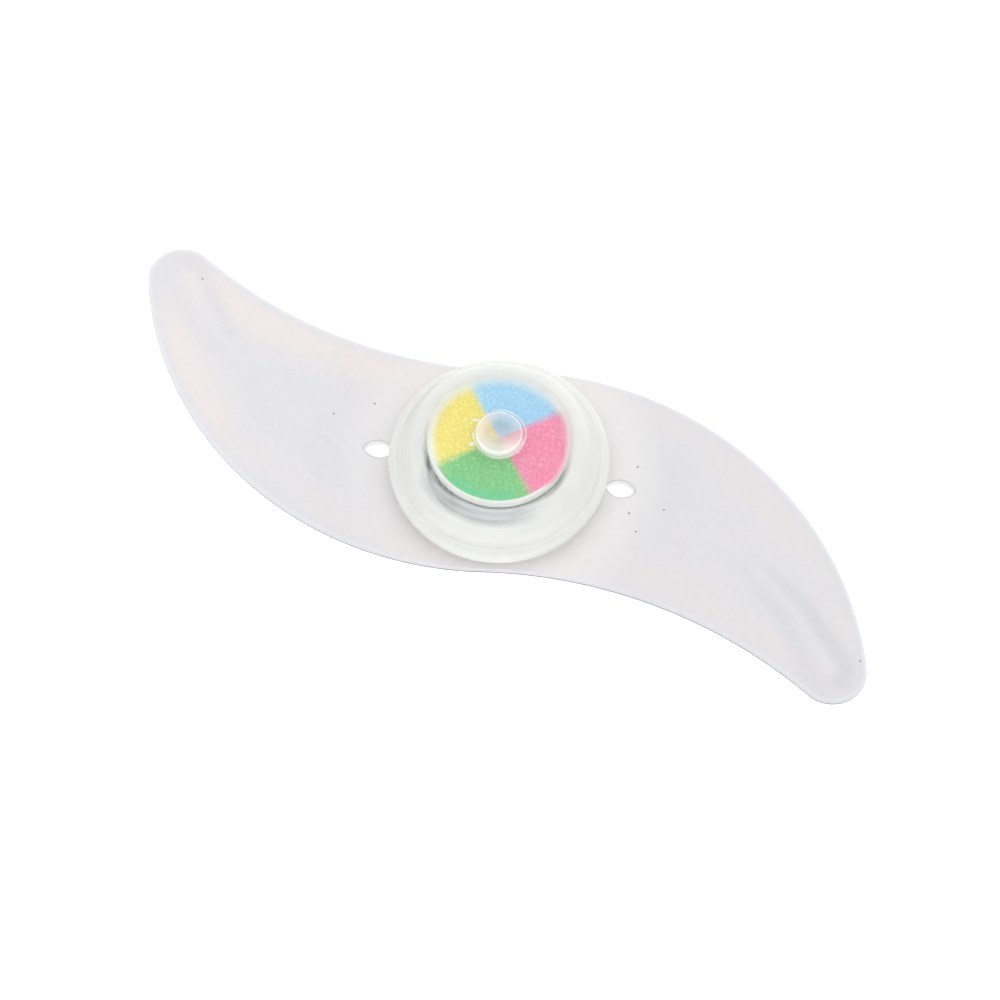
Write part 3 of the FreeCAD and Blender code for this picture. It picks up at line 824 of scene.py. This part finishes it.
def nub_material():
    """Clear silicone with a painted highlight on its rounded edge, made of extra milk and a whiter tone, and
    milkier in the half over the green and red quarters, partly as painted reflection from inside the nub.
    """
    t = Tree("nub_silicone")
    where = t.place()
    x, y = t.separate(where)[:2]
    out = reach(t, x, y)
    # Painted highlight on the nub's rounded edge, made with extra milk and a whiter tone.
    rim = t.product(t.edge(out, 3.25, 3.6), t.edge(out, NUB_HOLE_RADIUS, NUB_RADIUS))
    flange = t.edge(out, NUB_RADIUS, NUB_HOLE_RADIUS)
    # The milkier half over the green and red quarters partly stands in for light reflected inside the nub:
    # painted reflection.
    half = t.edge(y, 1.6, -2.6)
    left = t.edge(x, 0.4, -2.8)
    haze = t.noise(420.0, 3.0, where)
    cloudy = t.highest(half, t.product(left, 0.6))
    outer = t.edge(out, 1.2, 3.0)
    milk = t.math("ADD", t.scaled(cloudy, 0.56, 0.08), t.product(outer, 0.20))
    milk = t.math("ADD", milk, t.product(haze, 0.14))
    milk = t.highest(milk, t.product(rim, t.scaled(half, 0.37, 0.60)))
    milk = t.product(milk, t.scaled(flange, -0.9, 1.0))
    tone = t.ramp(haze, [(0.3, (0.76, 0.70, 0.675)), (0.7, (0.84, 0.78, 0.745))])
    # Painted highlight: the rounded edge gets a whiter tone.
    tone = t.mix(rim, tone, (0.96, 0.93, 0.925))
    return milky_finish(t, milk, tone, 0.16, t.bump(t.noise(900.0, 2.0, where), FINE_BUMP, 0.25), 0.2)


def clear_material(name, milk, tint, roughness=0.1):
    """Clear plastic or silicone with an even, faint haze in it."""
    t = Tree(name)
    haze = t.noise(500.0, 3.0, t.place())
    tone = t.ramp(haze, [(0.3, tuple(c * 0.95 for c in tint)), (0.7, tint)])
    shader = t.add("BsdfPrincipled", base_color=tone, roughness=roughness, ior=SILICONE_IOR,
                   alpha=t.scaled(haze, 0.08, milk - 0.04), normal=t.bump(haze, FINE_BUMP, 0.2))
    return t.finish(shader)


def print_colours(t, turn):
    """The four printed quarters, by the share of a turn from the -X axis, meeting in soft edges."""
    soft = 0.014
    yellow, green = (0.86, 0.74, 0.13), (0.16, 0.55, 0.17)
    red, blue = (0.86, 0.22, 0.39), (0.31, 0.62, 0.86)
    seams = ((0.098, yellow, green), (0.354, green, red), (0.601, red, blue), (0.851, blue, yellow))
    stops = []
    for seam, before, after in seams:
        stops += [(seam - soft, before), (seam + soft, after)]
    return t.ramp(turn, stops)


def label_material():
    """A film printed in four colour quarters, the green deeper at its rim; a painted pale veil over the
    other quarters' outer parts stands in for light scattered by the dome above them.
    """
    t = Tree("four_colour_print")
    where = t.place()
    radial = t.add("TexGradient", gradient_type="RADIAL", vector=where).outputs["Fac"]
    turn = t.math("ADD", radial, t.scaled(t.noise(1500.0, 3.0, where), 0.012, -0.006))
    colour = print_colours(t, turn)
    grain = t.noise(2300.0, 5.0, where)
    colour = t.mix(1.0, colour, t.ramp(grain, [(0.35, grey(0.78)), (0.6, grey(0.94))]), "MULTIPLY")
    colour = t.mix(t.product(t.step(grain, 0.55, 0.75), 0.30), colour, grey(0.85))
    x, y = t.separate(where)[:2]
    out = reach(t, x, y)
    in_green = t.product(t.step(turn, 0.12, 0.17), t.step(turn, 0.34, 0.30))
    in_red = t.product(t.step(turn, 0.37, 0.42), t.step(turn, 0.62, 0.58))
    in_blue = t.product(t.step(turn, 0.61, 0.68), t.step(turn, 0.95, 0.85))
    colour = t.mix(t.product(t.edge(out, 8.0, 10.5), in_green, 0.6), colour, (0.05, 0.52, 0.25))
    # Painted veil: the outer parts of all quarters but green are paled, standing in for light scattered by
    # the dome over them; the print itself does not fade.
    veil_from = t.math("ADD", t.scaled(in_blue, -0.6 * MM, 9.4 * MM), t.product(in_red, 1.0 * MM))
    veil_quarters = t.highest(t.step(turn, 0.40, 0.50), t.step(turn, 0.14, 0.06))
    painted_veil = t.product(t.step(out, veil_from, 11.4 * MM), veil_quarters, t.scaled(in_red, -0.35, 0.9))
    colour = t.mix(painted_veil, colour, (0.79, 0.81, 0.79))
    margin = t.product(t.edge(out, 10.85, 11.00), t.scaled(in_red, -0.8, 1.0))
    colour = t.mix(margin, colour, (0.70, 0.73, 0.69))
    shader = t.add("BsdfPrincipled", base_color=colour, roughness=0.5, specular_ior_level=0.3)
    return t.finish(shader)


def plain_material(name, colour, roughness, metallic=0.0, **more):
    """A solid colour broken up by fine noise in its colour, roughness and surface."""
    t = Tree(name)
    pattern = t.noise(800.0, 4.0, t.place())
    tone = t.ramp(pattern, [(0.3, tuple(c * 0.88 for c in colour)), (0.7, colour)])
    rough = t.scaled(pattern, 0.15, roughness - 0.07)
    shader = t.add("BsdfPrincipled", base_color=tone, roughness=rough, metallic=metallic,
                   normal=t.bump(pattern, FINEST_BUMP, 0.5), **more)
    return t.finish(shader)


def brushed_material(name, colour, roughness, metallic=1.0):
    """Bright metal with fine turned lines around the hub's axis."""
    t = Tree(name)
    lines = t.lines(60.0, 4000.0, 3.0, t.place())
    tone = t.ramp(lines, [(0.3, tuple(c * 0.82 for c in colour)), (0.7, colour)])
    rough = t.scaled(lines, 0.2, roughness - 0.1)
    shader = t.add("BsdfPrincipled", base_color=tone, roughness=rough, metallic=metallic,
                   normal=t.bump(lines, FINEST_BUMP, 0.4))
    return t.finish(shader)


def board_material():
    """Green lacquered board with paler copper tracks, and a broad tinned pad on top under the cells."""
    t = Tree("circuit_board_lacquer")
    where = t.place()
    x, y, z = t.separate(where)
    out = reach(t, x, y)
    tracks = t.add("TexBrick", vector=where, scale=420.0, mortar_size=0.03, mortar=(0.04, 0.14, 0.07, 1.0),
                   color1=(0.012, 0.055, 0.03, 1.0), color2=(0.016, 0.07, 0.036, 1.0))
    top = node_mm("driver_board")[1].z
    on_top = t.product(t.edge(z, top - 0.1, top - 0.02), t.edge(z, top + 0.2, top + 0.1))
    pad = t.product(t.edge(out, 11.25, 11.15), on_top)
    weave = t.noise(3000.0, 2.0, where)
    tinned = t.ramp(weave, [(0.3, grey(0.86)), (0.7, grey(0.94))])
    colour = t.mix(pad, tracks.outputs["Color"], tinned)
    bare_edge = t.product(t.edge(out, 11.28, 11.32), t.math("SUBTRACT", 1.0, pad))
    colour = t.mix(bare_edge, colour, (0.26, 0.30, 0.26))
    shader = t.add("BsdfPrincipled", base_color=colour, roughness=0.4,
                   metallic=t.product(pad, 0.3), normal=t.bump(weave, FINEST_BUMP, 0.3))
    return t.finish(shader)


def paint(node_names, material):
    """Gives CAD nodes a material."""
    for name in node_names:
        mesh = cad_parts[name].data
        mesh.materials.clear()
        mesh.materials.append(material)


def dress_cad_nodes():
    """The pieces that keep their CAD shape, each with its own procedural material."""
    paint(["label"], label_material())
    paint(["key_plate"], plain_material("white_moulding", (0.80, 0.82, 0.79), 0.45, subsurface_weight=0.2,
                                        subsurface_radius=EVEN_SPREAD, subsurface_scale=0.0005))
    paint(["switch_board", "driver_board"], board_material())
    steel = brushed_material("nickel_plate", (0.93, 0.96, 1.0), 0.5, 0.3)
    paint(["cell_1_can", "cell_2_can", "cell_1_cap", "cell_2_cap"], steel)
    paint(["contact_plus", "contact_spring"],
          brushed_material("spring_sheet", (0.66, 0.66, 0.66), 0.28))
    paint(["cell_1_seal", "cell_2_seal"], plain_material("gasket_nylon", (0.34, 0.35, 0.36), 0.5))
    paint(["cell_holder"], clear_material("clear_moulding", 0.18, (0.93, 0.95, 0.96)))
    paint(["controller_chip", "resistors"], plain_material("moulded_black", (0.02, 0.02, 0.022), 0.55))
    paint(["chip_legs", "led_right_leads", "led_left_leads"],
          plain_material("tinned_copper", (0.72, 0.72, 0.71), 0.3, metallic=1.0))
    paint(["link_wires"], plain_material("wire_lacquer", (0.12, 0.12, 0.14), 0.4))
    paint(["led_right", "led_left"], clear_material("led_resin", 0.5, (0.82, 0.84, 0.85), 0.05))
    paint(["seal_ring"], plain_material("seal_silicone", (0.84, 0.85, 0.84), 0.5))
    paint(["rear_cover"], plain_material("milky_plastic", (0.86, 0.88, 0.87), 0.4, subsurface_weight=0.7,
                                         subsurface_radius=EVEN_SPREAD, subsurface_scale=0.002))


def split_inside(piece, inner):
    """Gives the faces that look inwards or down a clearer material, as only the outer skin is clouded."""
    piece.data.materials.append(inner)
    for face in piece.data.polygons:
        outwards = Vector((face.center.x, face.center.y, 0.0)).normalized()
        if face.normal.dot(outwards) + face.normal.z < 0.1:
            face.material_index = 1


def add_pieces():
    """The pieces whose shape is made here, each standing for its CAD node."""
    inner = clear_material("clear_silicone_inside", 0.05, (0.90, 0.91, 0.89))
    made = (
        (make_blade(), "blade", "housing", "blade_silicone", blade_material()),
        (make_dome(), "front_dome", "housing", "dome_silicone", dome_material()),
        (make_button(), "push_button", "button", "button_silicone", nub_material()),
        (make_snap_disc(), "switch_snap_disc", "housing", "spring_steel",
         brushed_material("snap_disc_sheet", (0.70, 0.70, 0.70), 0.25)),
    )
    for piece, node, body, slot, material in made:
        piece.data.materials.append(material)
        if node in ("front_dome", "push_button"):
            split_inside(piece, inner)
        weigh_normals(piece)
        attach(piece, body)
        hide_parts(node)
    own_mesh(piece)


# ---------------------------------------------------------------- stage

# The camera's lens and sensor in millimetres, and places on the stage in metres
FOCAL = 144.0
SENSOR = 36.0
VIEW_AZIMUTH = math.radians(10.4)
VIEW_ELEVATION = math.radians(64.3)
VIEW_DISTANCE = 0.645
AIM_RIGHT = -0.00014
AIM_UP = 0.00473
SOFTBOX_PLACE = Vector((0.28, 0.42, 0.40))
SOFTBOX_SIZE = 0.9
SOFTBOX_POWER = 0.5
SKY_STRENGTH = 1.22


def make_camera():
    """The photograph's view: steep, a little from the right, from two thirds of a metre."""
    a, e = VIEW_AZIMUTH, VIEW_ELEVATION
    right = Vector((math.cos(a), math.sin(a), 0.0))
    back = Vector((math.sin(a) * math.cos(e), -math.cos(a) * math.cos(e), math.sin(e)))
    up = back.cross(right)
    low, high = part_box("blade")
    hub = Vector((0.0, 0.0, (low.z + high.z) / 2))
    camera = bpy.data.objects.new("camera", bpy.data.cameras.new("camera"))
    bpy.context.scene.collection.objects.link(camera)
    camera.location = hub + back * VIEW_DISTANCE - right * AIM_RIGHT - up * AIM_UP
    camera.rotation_euler = back.to_track_quat("Z", "Y").to_euler()
    camera.data.lens = FOCAL
    camera.data.sensor_width = SENSOR
    camera.data.clip_start = 0.01
    bpy.context.scene.camera = camera


def make_floor():
    bpy.ops.mesh.primitive_plane_add(size=6.0, location=(0.0, 0.0, CAD_BOX[0].z))
    floor = bpy.context.object
    floor.name = "floor"
    t = Tree("pale_floor")
    tone = t.ramp(t.noise(40.0, 3.0, t.place()), [(0.3, grey(0.93)), (0.7, grey(0.95))])
    shader = t.add("BsdfPrincipled", base_color=tone, roughness=0.9, emission_color=(1.0, 1.0, 1.0, 1.0),
                   emission_strength=0.5)
    floor.data.materials.append(t.finish(shader))


def make_softbox():
    data = bpy.data.lights.new("softbox", "AREA")
    data.shape = "DISK"
    data.size = SOFTBOX_SIZE
    data.energy = SOFTBOX_POWER
    light = bpy.data.objects.new("softbox", data)
    bpy.context.scene.collection.objects.link(light)
    light.location = SOFTBOX_PLACE
    light.rotation_euler = SOFTBOX_PLACE.to_track_quat("Z", "Y").to_euler()


def make_stage():
    """A pale floor, an even white surround and one large soft light."""
    make_floor()
    world = bpy.data.worlds.new("studio")
    bpy.context.scene.world = world
    world.use_nodes = True
    sky = world.node_tree.nodes["Background"]
    sky.inputs["Color"].default_value = (1.0, 1.0, 1.0, 1.0)
    sky.inputs["Strength"].default_value = SKY_STRENGTH
    make_softbox()
    scene = bpy.context.scene
    scene.view_settings.view_transform = "Standard"
    scene.cycles.max_bounces = 16
    scene.cycles.transparent_max_bounces = 24


make_camera()
add_pieces()
dress_cad_nodes()
make_stage()
